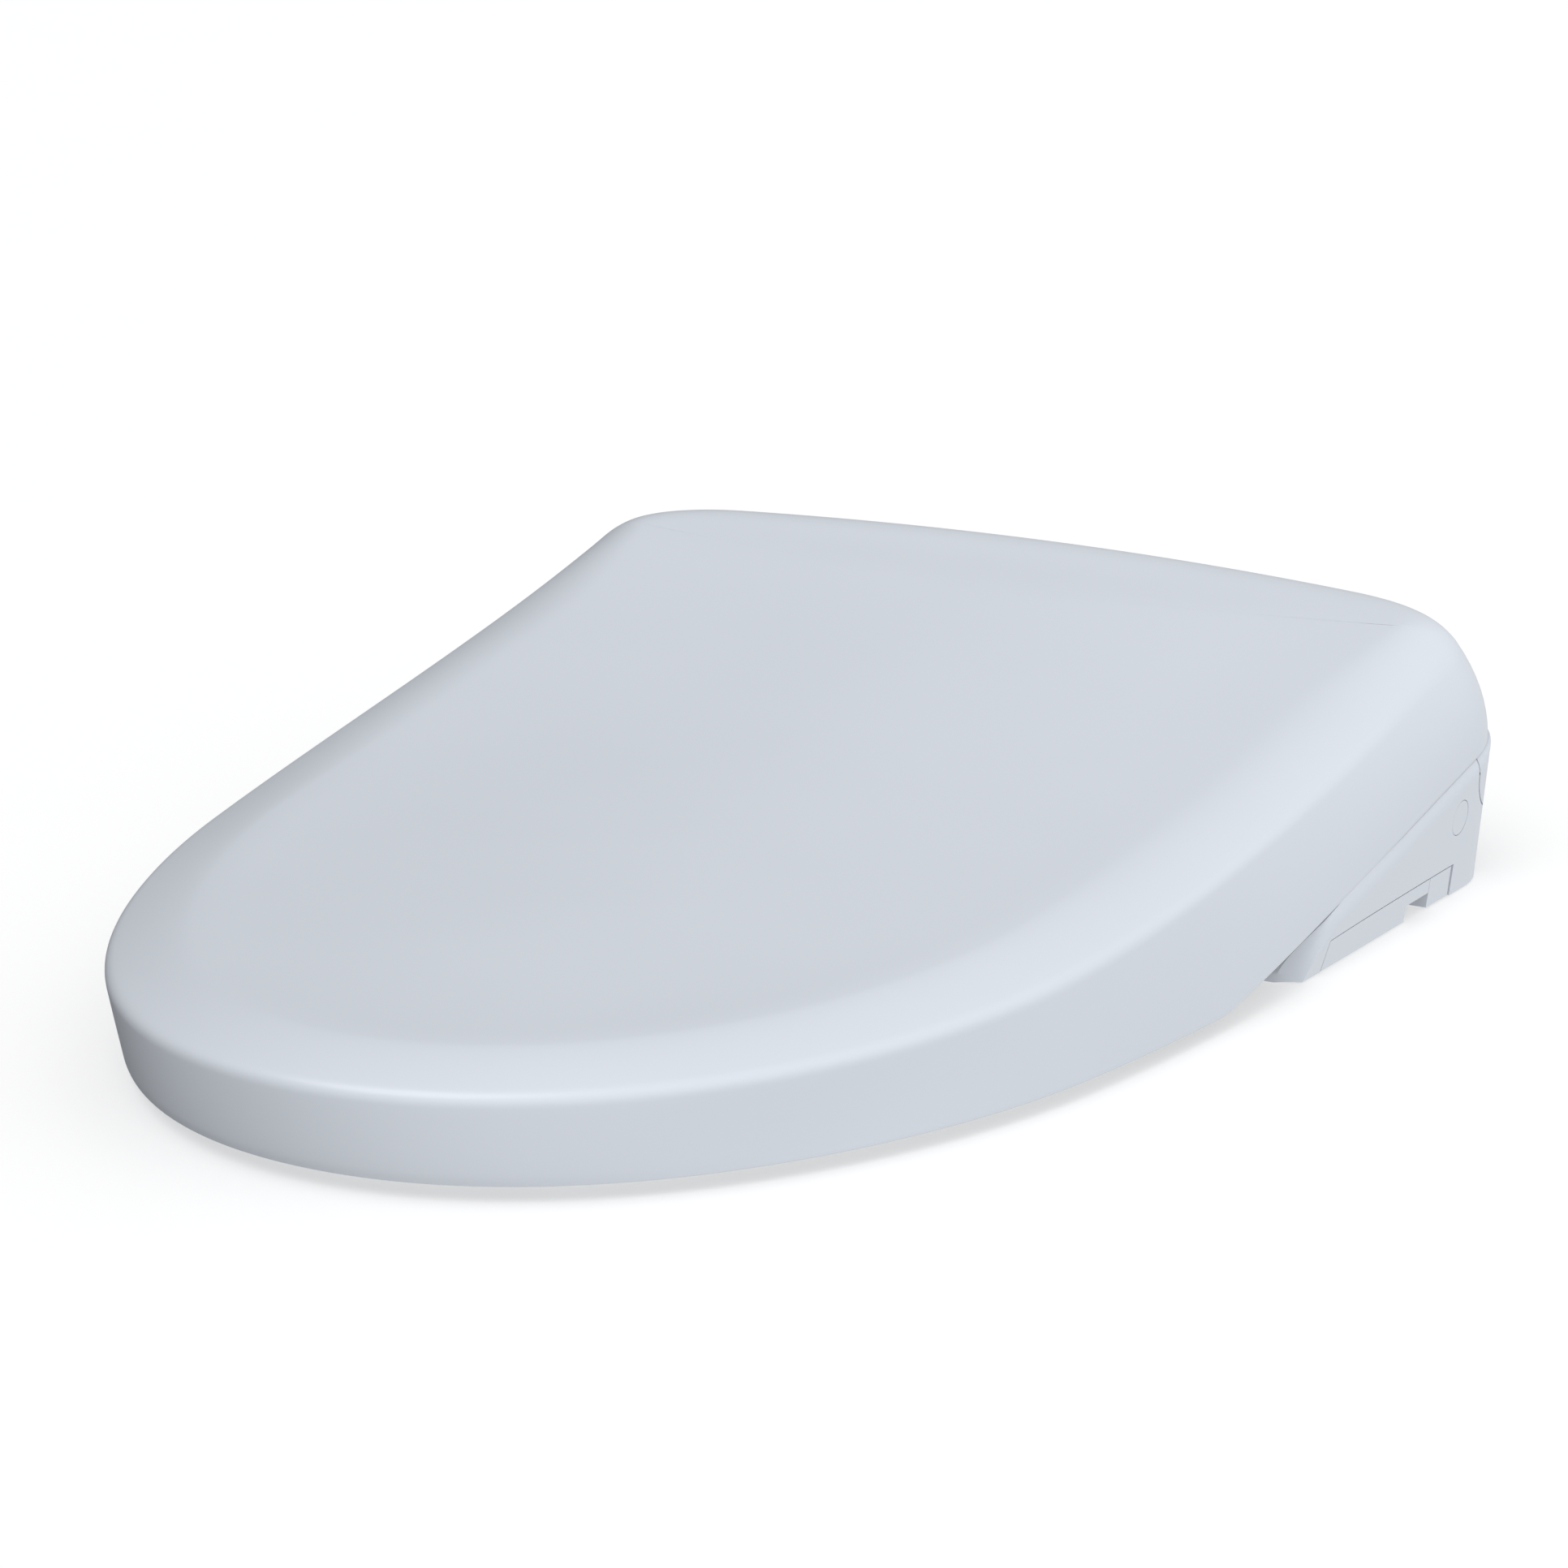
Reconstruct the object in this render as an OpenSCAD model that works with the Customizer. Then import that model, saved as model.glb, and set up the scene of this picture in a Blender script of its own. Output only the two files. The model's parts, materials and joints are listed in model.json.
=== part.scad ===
// Electric bidet seat: seat, lid and main unit on a bolted bracket.
// Origin: midway between the two mounting bolts, on the face that lies on the bowl.
// +Z up, -Y towards the front of the bowl, +X to the side of the release button.

/* [Lid] */
// Length of the lid's rim, front to back
lid_len = 520; // [500:1:540]
// Greatest width of the lid's rim
lid_w = 383; // [370:1:392]
// Distance from the bolts back to the lid's rim
lid_rear = 53; // [50:1:56]
// Wall of the lid
lid_wall = 3; // [2.5:0.1:3.5]
// Height of the rim at the front
rim_front_z = 5.2; // [4:0.1:6]
// Height of the rim at the back
rim_rear_z = 61.3; // [60:0.1:63]
// Rise of the rim per millimetre where it slopes
rim_slope = 0.229; // [0.22:0.001:0.24]
// Height of the lid's shoulder at the front
shoulder_z = 37.3; // [36:0.1:39]

/* [Hinge] */
// Height of the hinge line
hinge_z = 43.5; // [43:0.1:44]
// Distance of the hinge line behind the bolts
hinge_y = 13; // [12.5:0.1:13.5]
// Radius of the hinge pins
pin_r = 5; // [4:0.1:5]
// Running clearance between a pin and an arm
pin_gap = 0.05; // [0.03:0.01:0.1]
// Radius of the lid arm's round end
lid_arm_r = 15.5; // [15:0.1:15.8]

/* [Seat] */
// Length of the seat ring
seat_len = 369; // [360:1:370]
// Gap between the seat's edge and the lid's rim
seat_gap = 9; // [8:0.5:12]
// Length of the opening
hole_len = 272; // [260:1:280]
// Width of the opening
hole_w = 208; // [190:1:215]
// Height of the rubber bumpers under the seat
bumper_h = 9; // [8.5:0.1:9.5]

/* [Main unit] */
// Half width of the unit between the cheeks
unit_hw = 158; // [157:0.5:159]
// Distance of the unit's front face before the bolts
unit_front = 82; // [80:1:84]
// Radius of the round back, about the hinge line
barrel_r = 30; // [28:0.5:30]
// Wall of the covers
wall = 2.5; // [2:0.1:2.8]
// Distance of the cheeks' front tips before the bolts
cheek_front = 138; // [136:1:142]

/* [Bracket] */
// Distance between the two mounting bolts
bolt_gap = 140; // [139:0.5:141]
// Radius of the slots' ends
slot_r = 4.25; // [4:0.05:4.5]
// Length of each slot
slot_len = 24; // [20:1:28]

/* [Wand] */
// Slope of the wand below the horizontal
wand_tilt = 25; // [24:0.5:26]
// Radius of the wand
wand_r = 8; // [7:0.1:8]
// Length of the wand
wand_len = 104; // [96:1:106]

/* [Hidden] */

$fn = 48;
eps = 0.01;
white = [0.86, 0.88, 0.9];
dark = [0.25, 0.27, 0.3];

// ---- Plan outline of the lid's rim ----
half_w = lid_w / 2;
lid_y0 = lid_rear - lid_len;
corner_y = 0.893 * lid_len;
corner_cut = 59.6;
rear_bow = 8.3;
side_x = 0.9 * half_w;
side_y = 0.367 * lid_len;
side_turn = 10.4;
rear_turn = 2.2;
corner_pull = 0.58;
n_front = 14;
n_side = 5;
n_corner = 7;
n_rear = 4;

function bez(a, b, c, d, t) = a * pow(1 - t, 3) + 3 * b * pow(1 - t, 2) * t
    + 3 * c * (1 - t) * t * t + d * pow(t, 3);
function curve(a, b, c, d, n) = [for (i = [0:n - 1]) bez(a, b, c, d, i / n)];
function turned(a) = [sin(a), cos(a)];

// Right half of the rim from the front tip to the middle of the back, front tip at [0, 0]
function rim_half() =
    let (side = [side_x, side_y],
        start = [half_w, corner_y],
        end = [half_w - corner_cut, lid_len - rear_bow],
        back = [0, lid_len],
        bow = atan2(2 * rear_bow, end[0]),
        out = [cos(bow), -sin(bow)],
        step = norm(start - side) / 3,
        pull = corner_pull)
    concat(
        curve([0, 0], [0.526 * half_w, 0], side - turned(side_turn) * 0.147 * lid_len, side, n_front),
        curve(side, side + turned(side_turn) * step, start - turned(rear_turn) * step, start, n_side),
        curve(start, start + turned(rear_turn) * (end[1] - start[1]) * pull,
            end + out * (start[0] - end[0]) * pull, end, n_corner),
        curve(end, end - out * end[0] / 3, [end[0] / 3, lid_len], back, n_rear),
        [back]);

// A half outline, mirrored to the other side to close it
function both_sides(h) = concat(h, [for (i = [len(h) - 2:-1:1]) [-h[i][0], h[i][1]]]);
function at(v, i) = v[(i + len(v)) % len(v)];
// Inward unit normal of a closed outline
function inward(v) = [for (i = [0:len(v) - 1])
    let (t = at(v, i + 1) - at(v, i - 1)) [-t[1], t[0]] / norm(t)];
function moved(v, d) = [for (p = v) [p[0], p[1] + d]];

rim = moved(both_sides(rim_half()), lid_y0);
rim_in = inward(rim);
// The rim outline, moved inwards
function inset_rim(d) = [for (i = [0:len(rim) - 1]) rim[i] + rim_in[i] * d];

// ---- Heights along the lid ----
function along(y) = (y - lid_y0) / lid_len;
function rim_z(y) = max(rim_front_z, rim_rear_z + rim_slope * (y - lid_rear));
function shoulder(y) = let (t = along(y)) shoulder_z - 11 * t + 69.8 * t * t;
function lean(y) = -11.1 + 25.7 * pow(max(along(y), 0), 0.73);
band_w = 28.5;
band_widening = 4.5;
band_rear_w = 22;
band_h = 8.2;
crown = 2;
rear_rise = 1.3;
function smooth(t) = let (u = min(max(t, 0), 1)) u * u * (3 - 2 * u);
// Width of the rolled band inside the shoulder: widest at the sides, tight at the back
function band(y) = let (wide = band_w + band_widening * smooth((along(y) - 0.3) / 0.3))
    wide - (wide - band_rear_w) * smooth((along(y) - 0.76) / 0.16);
// Roundness of the band in section: a firm inner edge at the front, none at the sides
function band_power(y) = 1.38 + 0.62 * smooth((along(y) - 0.3) / 0.4);
// Height of the ramp on top
function roof(y) = shoulder(y) + band_h + rear_rise * smooth((along(y) - 0.75) / 0.2);

// ---- Polyhedra made of rings ----
// Triangles between the rings of a stack, each with n points, closed all round
function ring_faces(n, first, last) = [for (r = [first:last - 1]) for (i = [0:n - 1])
    let (a = r * n + i, b = r * n + (i + 1) % n) each [[a, a + n, b], [b, a + n, b + n]]];
// A ladder of triangles across a ring whose halves mirror each other
function ladder(n, base, flip) = [for (i = [0:n / 2 - 1])
    let (a = base + i, b = base + i + 1, c = base + (n - i) % n, d = base + (n - i - 1) % n)
    each flip ? [if (b != d) [a, b, d], if (a != c) [a, d, c]]
        : [if (b != d) [a, d, b], if (a != c) [a, c, d]]];

spine_front = lid_y0 + 0.3 * lid_len;
spine_rear = lid_y0 + 0.86 * lid_len;
function spine(y) = [0, min(max(y, spine_front), spine_rear)];

// Shape of the wall in section: bulging at the front, upright and then curling in at the back
function wall_power(y) = 0.75 + 1.25 * smooth(along(y) / 0.4);
// One ring of the lid's wall: k runs from the rim, 0, to the shoulder, 1
function wall_ring(k, in) = [for (i = [0:len(rim) - 1])
    let (y = rim[i][1], p = rim[i] + rim_in[i] * (lean(y) * pow(k, wall_power(y)) + in))
    [p[0], p[1], rim_z(y) + (shoulder(y) - (in > 0 ? lid_wall : 0) - rim_z(y)) * k]];
// One ring of the band above the shoulder: k runs from the shoulder to the flat top
function band_ring(k, in) = [for (i = [0:len(rim) - 1])
    let (y = rim[i][1], p = rim[i] + rim_in[i] * (lean(y) + in + (band(y) - in) * k),
        f = pow(1 - k, band_power(y)))
    [p[0], p[1], shoulder(y) * f + roof(p[1]) * (1 - f) - in]];
// One ring of the top: k runs from the band's inner edge to the spine
function top_ring(k, in) = [for (i = [0:len(rim) - 1])
    let (y = rim[i][1], q = rim[i] + rim_in[i] * (lean(y) + band(y)),
        p = q * (1 - k) + spine(q[1]) * k)
    [p[0], p[1], roof(p[1]) + crown * k * (2 - k) - in]];

module lid_shell() {
    n = len(rim);
    outer = [wall_ring(0, 0), wall_ring(0.5, 0), wall_ring(1, 0), band_ring(0.15, 0),
        band_ring(0.4, 0), band_ring(0.7, 0), band_ring(1, 0), top_ring(0.4, 0), top_ring(0.8, 0)];
    inner = [wall_ring(0, lid_wall), wall_ring(0.5, lid_wall), wall_ring(1, lid_wall),
        band_ring(0.4, lid_wall), band_ring(1, lid_wall), top_ring(0.4, lid_wall),
        top_ring(0.8, lid_wall)];
    m = len(outer);
    rings = concat([for (r = [m - 1:-1:0]) outer[r]], inner);
    points = [for (r = rings) each r];
    color(white) polyhedron(points, concat(ring_faces(n, 0, len(rings) - 1),
        ladder(n, 0, true), ladder(n, (len(rings) - 1) * n, false)));
}

// ---- Seat ring ----
seat_y0 = lid_y0 + seat_gap;
seat_y1 = seat_y0 + seat_len;
hole_y0 = seat_y0 + 66;
seat_n = 56;
// Outer edge: follows the lid at the front and draws in at the back, between the cheeks
function seat_half() =
    let (ahead = turned(side_turn),
        side = [side_x - seat_gap * ahead[1], side_y - seat_gap * (1 - ahead[0])],
        back = [118, seat_len])
    concat(
        curve([0, 0], [0.51 * half_w, 0], side - ahead * 0.14 * lid_len, side, 16),
        curve(side, side + ahead * 0.17 * seat_len, back + [44, 0], back, 9),
        curve(back, back - [40, 0], [40, seat_len], [0, seat_len], 3),
        [[0, seat_len]]);
seat_edge = moved(both_sides(seat_half()), seat_y0);
// Opening: an egg, each point facing one point of the outer edge
function hole_at(i) = let (n = seat_n, a = 360 * i / n, s = sin(a), c = cos(a), e = 0.86)
    [sign(s) * pow(abs(s), e) * hole_w / 2, hole_y0 + hole_len / 2 * (1 - sign(c) * pow(abs(c), e))];
seat_hole = [for (i = [0:seat_n - 1]) hole_at(i)];
seat_low = bumper_h;
function seat_bottom(y) = seat_low + 13 * smooth((y - seat_y0 - 240) / 90);
function seat_crest(y) = 30.5 + 17 * pow(max((y - seat_y0) / seat_len, 0), 2);
// A closed ring swept from a section: [across, up] with 0 at the outer edge and the bottom
function seat_ring_points(section, lift) = [for (s = section) for (i = [0:seat_n - 1])
    let (p = seat_edge[i] * (1 - s[0]) + seat_hole[i] * s[0], y = p[1])
    [p[0], p[1], seat_bottom(y) + lift + (seat_crest(y) - seat_bottom(y)) * s[1]]];
function loop_faces(n, m) = [for (r = [0:m - 1]) for (i = [0:n - 1])
    let (a = r * n + i, b = r * n + (i + 1) % n, up = ((r + 1) % m) * n, c = up + i,
        d = up + (i + 1) % n)
    each [[a, b, c], [b, d, c]]];

module seat_ring(section, lift) {
    polyhedron(seat_ring_points(section, lift), loop_faces(seat_n, len(section)));
}
module seat_top() {
    color(white) seat_ring([[0.01, 0], [0, 0.35], [0.02, 0.68], [0.08, 0.9], [0.2, 1], [0.42, 0.98],
        [0.68, 0.88], [0.86, 0.7], [0.96, 0.42], [1, 0], [0.95, 0], [0.91, 0.4], [0.8, 0.6],
        [0.6, 0.76], [0.36, 0.86], [0.18, 0.85], [0.09, 0.66], [0.06, 0.35], [0.055, 0]], 0);
}
module seat_base() {
    color(white) seat_ring([[0.07, 0], [0.075, 0.1], [0.935, 0.1], [0.94, 0]], 0);
}
module seat_heater() {
    color("darkorange") seat_ring([[0.12, 0.7], [0.19, 0.8], [0.36, 0.82], [0.6, 0.72], [0.79, 0.56],
        [0.78, 0.52], [0.59, 0.67], [0.36, 0.77], [0.19, 0.75], [0.13, 0.66]], 0);
}
bumper_at = [[-126, -290], [126, -290], [-52, -416], [52, -416]];
module seat_bumpers() {
    for (p = bumper_at) color("dimgray") translate([p[0], p[1], 0]) {
        cylinder(r = 9, h = bumper_h);
    }
}

// ---- Shapes drawn in a side view: [y, z], stretched along X from x0 to x1 ----
module from_side(x0, x1) {
    translate([x0, 0, 0]) rotate([90, 0, 90]) linear_extrude(x1 - x0) children();
}
module along_x(x0, x1, r, y, z) {
    translate([x0, y, z]) rotate([0, 90, 0]) cylinder(r = r, h = x1 - x0);
}
module both_x() {
    children();
    mirror([1, 0, 0]) children();
}
module block(lo, hi) {
    translate(lo) cube(hi - lo);
}

// ---- Seat arms, in the channels of the cover ----
seat_arm_x0 = 112;
seat_arm_x1 = 128;
seat_arm_r = 12;
module seat_arms() {
    foot_z = seat_bottom(seat_y1) - 6.5;
    color(white) both_x() difference() {
        union() {
            block([seat_arm_x0 - 8, seat_y1 - 44, foot_z], [seat_arm_x1 + 4, seat_y1 + 4, foot_z + 5.8]);
            from_side(seat_arm_x0, seat_arm_x1) polygon([[seat_y1 + 2, foot_z], [seat_y1 + 2, foot_z + 22],
                [seat_y1 + 14, foot_z + 30], [hinge_y, hinge_z + seat_arm_r],
                [hinge_y, hinge_z - seat_arm_r], [seat_y1 + 22, foot_z]]);
            along_x(seat_arm_x0, seat_arm_x1, seat_arm_r, hinge_y, hinge_z);
        }
        along_x(seat_arm_x0 - 1, seat_arm_x1 + 1, pin_r + pin_gap, hinge_y, hinge_z);
        for (y = [seat_y1 - 34, seat_y1 - 12]) translate([seat_arm_x0 + 4, y, foot_z - 1]) {
            cylinder(r = 2.2, h = 8);
        }
    }
}
module seat_screws() {
    foot_z = seat_bottom(seat_y1) - 6.5;
    for (s = [-1, 1], y = [seat_y1 - 34, seat_y1 - 12]) color("silver") {
        translate([s * (seat_arm_x0 + 4), y, foot_z - 2.2]) cylinder(r = 3.8, h = 2.2);
        translate([s * (seat_arm_x0 + 4), y, foot_z - eps]) cylinder(r = 2, h = 5.7);
    }
}

// ---- Lid arms, at the rear corners, flush with the rim's outline ----
lid_arm_x = 164;
arm_top_gap = 0.6;
// The cheeks and the lid arms stand a little proud of the rim's outline
side_proud = 1.2;
module rim_slab(d, z0, z1) {
    translate([0, 0, z0]) linear_extrude(z1 - z0) polygon(inset_rim(d));
}
// Side view of the space under the rim, from y0 to y1 and down to the height z0
module under_rim(y0, y1, z0) {
    polygon([[y0, z0], [y0, rim_z(y0) - arm_top_gap], [y1, rim_z(y1) - arm_top_gap], [y1, z0]]);
}
module lid_arms() {
    neck_top = 78;
    arm_y0 = hinge_y - lid_arm_r;
    arm_y1 = hinge_y + lid_arm_r;
    color(white) both_x() difference() {
        intersection() {
            from_side(lid_arm_x, half_w + 5) union() {
                intersection() {
                    translate([hinge_y, hinge_z]) circle(r = lid_arm_r);
                    under_rim(arm_y0, arm_y1, 0);
                }
                under_rim(arm_y0, arm_y1, hinge_z);
            }
            rim_slab(-side_proud, 0, 100);
        }
        along_x(lid_arm_x - 1, half_w - 9, pin_r + pin_gap, hinge_y, hinge_z);
    }
    color(white) both_x() intersection() {
        from_side(lid_arm_x, half_w + 5) polygon([[arm_y0 + 1, rim_z(arm_y0) - arm_top_gap],
            [arm_y0 + 3, neck_top - 6], [hinge_y + 4, neck_top], [hinge_y + 8, neck_top],
            [arm_y1, rim_z(arm_y1) - arm_top_gap]]);
        rim_slab(19, 40, 100);
    }
}
module lid_bumpers() {
    for (s = [-1, 1]) color("gainsboro") {
        translate([s * 110, -390, seat_crest(-390) + 0.6]) cylinder(r = 7, h = 5.2);
    }
}

// ---- Hinge pins and dampers ----
module hinge_pins() {
    color("silver") both_x() along_x(100, half_w - 10, pin_r, hinge_y, hinge_z);
}
module lid_dampers() {
    color(dark) both_x() difference() {
        union() {
            along_x(136, 153, 12, hinge_y, hinge_z);
            block([136, hinge_y - 20, hinge_z - 14], [153, hinge_y, hinge_z - 4]);
        }
        along_x(135, 154, pin_r, hinge_y, hinge_z);
    }
}

// ---- Covers of the main unit ----
channel_x0 = 109.5;
channel_x1 = 130.5;
case_split = 8;
unit_rear_low = 20;
deck_z = 62;
deck_y = -unit_front + 12;
barrel_end_x = 132;
barrel_end_r = barrel_r - 5;
// Side view of the unit's middle with a back of radius r, grown or shrunk by d
module unit_side(r, d) {
    translate([hinge_y, hinge_z]) circle(r = r + d);
    polygon([[-unit_front - d, case_split + 0.2], [-unit_front - d, 48 + d / 2], [deck_y, deck_z + d],
        [-24, hinge_z + r + d - 1], [hinge_y, hinge_z + r + d], [unit_rear_low + d, 20],
        [unit_rear_low + d, case_split + 0.2]]);
}
module unit_solid(d) {
    from_side(-barrel_end_x - d, barrel_end_x + d) unit_side(barrel_r, d);
    from_side(-unit_hw - d, unit_hw + d) unit_side(barrel_end_r, d);
}
// Side view of the seat arms' channel, deepened by d
module channel_side(d) {
    foot = seat_bottom(seat_y1) - 7 - d;
    low = hinge_z - seat_arm_r - 1 - d;
    polygon([[-unit_front - 5, foot], [-unit_front + 14, foot], [hinge_y, low], [hinge_y + 40, low],
        [hinge_y + 40, 100], [-unit_front - 5, 100]]);
}
// Side view of a cheek: its top runs under the lid's rim and ends at the lid arm
cheek_gap = 1.1;
arm_cut = lid_arm_r + 0.7;
// Radius that the lid arm's rear corner sweeps, and the angle below the horizontal where it stops
arm_sweep = 19.9;
arm_stop = 63;
cheek_foot_y = 16.8;
// A point of the side view at a radius and an angle from the hinge line
function about_hinge(r, a) = [hinge_y + r * cos(a), hinge_z + r * sin(a)];
module cheek_side(d) {
    rear = hinge_y - arm_cut;
    difference() {
        polygon([[-cheek_front - d, 0], [-cheek_front - d, rim_z(-cheek_front) - cheek_gap + d],
            [rear + d, rim_z(rear) - cheek_gap + d], [rear + d, hinge_z], [hinge_y, hinge_z],
            about_hinge(arm_cut - 2, -arm_stop), about_hinge(arm_sweep, -arm_stop) + [d, 0],
            [cheek_foot_y + d, 0]]);
        translate([hinge_y, hinge_z]) circle(r = arm_cut - d);
        // room for the lid arm's rear corner as the lid opens
        polygon([[hinge_y, hinge_z], about_hinge(arm_cut + 0.2 - d, -81),
            about_hinge(arm_cut + 1.8 - d, -70), about_hinge(arm_sweep - d, -60),
            about_hinge(arm_sweep - d, -30)]);
    }
}
cap_at = [-15.6, 29.6];
cap_r = 6.4;
strip_y0 = -119.3;
button_y0 = -34.2;
button_y1 = -15.6;
notch_y0 = -53;
strip_h = 11.6;
inlet_y = -45;
inlet_z = 15;

cheek_in = 170;
toe_y = -128;
toe_w = 8;
// Plan of a cheek: joined to the unit behind its front face, its toe cut off at a slant
module cheek_solid() {
    intersection() {
        from_side(unit_hw - 8, half_w + 5) cheek_side(0);
        rim_slab(-side_proud, 0, 100);
        translate([0, 0, -1]) linear_extrude(110) polygon([[unit_hw - 8, 40],
            [unit_hw - 8, -unit_front + 2], [cheek_in, -unit_front + 2], [cheek_in, -cheek_front],
            [cheek_in + toe_w, -cheek_front], [half_w + 4, toe_y], [half_w + 4, 40]]);
    }
}
module upper_cover() {
    color(white) difference() {
        union() {
            unit_solid(0);
            both_x() cheek_solid();
            for (p = screw_at) translate([p[0], p[1], case_split + 0.2]) cylinder(r = 4.5, h = 8);
        }
        // hollow inside
        difference() {
            unit_solid(-wall);
            both_x() from_side(channel_x0 - wall, channel_x1 + wall) channel_side(wall);
        }
        both_x() intersection() {
            from_side(unit_hw, half_w + 5) cheek_side(-wall);
            rim_slab(1 + wall, -1, 100);
            union() {
                block([unit_hw, -unit_front + 2 + wall, -1], [half_w, 40, 100]);
                block([cheek_in + wall, toe_y - 4, -1], [half_w, -unit_front + 5, 100]);
            }
        }
        block([-unit_hw + wall, -unit_front + wall, -1],
            [unit_hw - wall, unit_rear_low - wall, case_split + 1]);
        both_x() block([unit_hw - 9, -unit_front + 2 + wall, -1],
            [unit_hw + 3, cheek_foot_y - wall, case_split + 1]);
        // channels of the seat arms, and holes of the pins
        both_x() from_side(channel_x0, channel_x1) channel_side(0);
        both_x() along_x(104, half_w, pin_r + 0.3, hinge_y, hinge_z);
        // opening of the lower strip and the release button on one side
        block([cheek_in + wall, strip_y0, -1], [half_w + 5, button_y1, strip_h]);
        block([unit_hw + wall, -unit_front + 2 + wall, -1], [half_w + 5, button_y1, strip_h]);
        // recess of the water inlet on the other side
        block([-half_w - 5, inlet_y - 15, -1], [-unit_hw - 0.1, inlet_y + 15, 28]);
        block([-half_w - 5, inlet_y - 36, -1], [-unit_hw - 0.1, inlet_y - 14, 24]);
        along_x(-unit_hw - 3, -unit_hw + 9, 8.3, inlet_y, inlet_z);
        along_x(-unit_hw - 3, -unit_hw + 9, 5.3, inlet_y - 27, inlet_z);
        // wand port, dryer port and cartridge port in the front face
        block([-13, -unit_front - 1, 0], [13, -unit_front + wall + 6, 27.5]);
        block([-74, -unit_front - 1, 14], [-36, -unit_front + 5, 36]);
        block([-102, -unit_front - 1, 0], [-77, -unit_front + 5, 21]);
        // seats of the round caps
        both_x() along_x(half_w - 4, half_w + 4, cap_r + 0.2, cap_at[0], cap_at[1]);
        // button holes beside the strip's opposite side
        for (p = button_at) along_x(-half_w - 3, -half_w + 8, 5.4, p[0], p[1]);
        // windows in the top deck
        block([24, -66, 55], [58, -54, 90]);
        block([-58, -66, 55], [-38, -54, 90]);
        for (p = screw_at) translate([p[0], p[1], 0]) cylinder(r = 2, h = 15.5);
    }
}
module side_caps() {
    color(white) both_x() along_x(half_w - 3.6, half_w + 0.9, cap_r, cap_at[0], cap_at[1]);
}

module bottom_case() {
    inner = unit_hw - wall - 0.3;
    color(white) difference() {
        union() {
            block([-inner, -unit_front + wall + 0.3, 5.4], [inner, unit_rear_low - wall - 0.3, case_split]);
            both_x() block([inner - 3, -unit_front + wall + 0.3, 0],
                [inner, unit_rear_low - wall - 0.3, 5.4]);
            block([-inner, unit_rear_low - wall - 3, 0], [inner, unit_rear_low - wall - 0.3, 5.4]);
            // lower strip that closes one cheek
            intersection() {
                block([unit_hw + 6, strip_y0 + 0.4, 0], [half_w + 5, button_y0 - 0.5, strip_h - 0.4]);
                difference() {
                    rim_slab(1.2, 0, 20);
                    rim_slab(5, -1, 21);
                }
            }
            block([inner - 3, -77.2, 2.2], [half_w - 3.5, notch_y0 - 2, 5]);
            // holders of the cable gland and the release spring
            block([inner - 3, notch_y0 + 2, 0], [inner + 4, button_y0 - 2, 6]);
            block([inner - 3, button_y0 + 3, 0.5], [unit_hw + 3.9, button_y1 - 3, case_split]);
        }
        gland(0.05);
        block([unit_hw + 12, notch_y0, -1], [half_w + 5, button_y0, 6]);
        block([-13, -unit_front - 5, 0], [13, -unit_front + 26, 20]);
        for (s = [-1, 1]) translate([s * bolt_gap / 2, 0, 0]) cylinder(r = 15, h = 20);
        for (p = screw_at) translate([p[0], p[1], -1]) {
            cylinder(r = 2.2, h = 20);
            cylinder(r = 4, h = 6.4);
        }
        along_x(-unit_hw, -inner + 20, 12, inlet_y, inlet_z);
    }
}
screw_at = [[-28, -75.5], [98, -75.5], [-114, 13.2], [114, 13.2]];
module case_screws() {
    for (p = screw_at) color("silver") translate([p[0], p[1], 3]) {
        cylinder(r = 3.6, h = 2.4);
        cylinder(r = 1.9, h = 12);
    }
}
// Side view of a window, flush with the sloping deck
module window_side() {
    slope = (hinge_z + barrel_r - 1 - deck_z) / (-24 - deck_y);
    polygon([for (c = [[-65.7, -2], [-54.3, -2], [-54.3, -0.3], [-65.7, -0.3]])
        [c[0], deck_z + slope * (c[0] - deck_y) + c[1]]]);
}
module cover_windows() {
    color(dark) {
        from_side(24.3, 57.7) window_side();
        from_side(-57.7, -38.3) window_side();
    }
}

// ---- Bracket ----
module slot(x) {
    run = slot_len / 2 - slot_r;
    translate([x - run, 0, -1]) cylinder(r = slot_r, h = 8);
    translate([x + run, 0, -1]) cylinder(r = slot_r, h = 8);
    block([x - run, -slot_r, -1], [x + run, slot_r, 7]);
}
module mounting_bracket() {
    color("gainsboro") difference() {
        union() {
            block([-104, -34, 0], [104, 14, 4.6]);
            both_x() block([88, -60, 0], [104, -34, 4.6]);
        }
        slot(-bolt_gap / 2);
        slot(bolt_gap / 2);
        block([-50, -26, 2.4], [50, 6, 6]);
    }
}

// ---- Water path ----
module water_inlet() {
    color("gold") {
        difference() {
            union() {
                along_x(-unit_hw - 16, -unit_hw - 3, 10.48, inlet_y, inlet_z);
                along_x(-unit_hw - 3, -unit_hw + 8, 8, inlet_y, inlet_z);
            }
            along_x(-unit_hw - 17, -unit_hw + 9, 5, inlet_y, inlet_z);
        }
    }
}
module strainer_plug() {
    color("gainsboro") {
        along_x(-unit_hw - 12, -unit_hw - 3, 7, inlet_y - 27, inlet_z);
        along_x(-unit_hw - 3, -unit_hw + 8, 5, inlet_y - 27, inlet_z);
    }
}
module valve_block() {
    color("gainsboro") union() {
        block([-150, -76, 9], [-134, -12, 24]);
        translate([-142, -30, 24 - eps]) cylinder(r = 7, h = 14);
        translate([-142, -52, 24 - eps]) cylinder(r = 7, h = 14);
    }
}
module water_heater() {
    color("wheat") union() {
        block([22, -70, 10], [60, -6, 34]);
        along_x(60 - eps, 68, 4, -60, 22);
        along_x(60 - eps, 68, 4, -16, 22);
    }
}
hose_r = 3;
hose_sides = 10;
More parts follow.
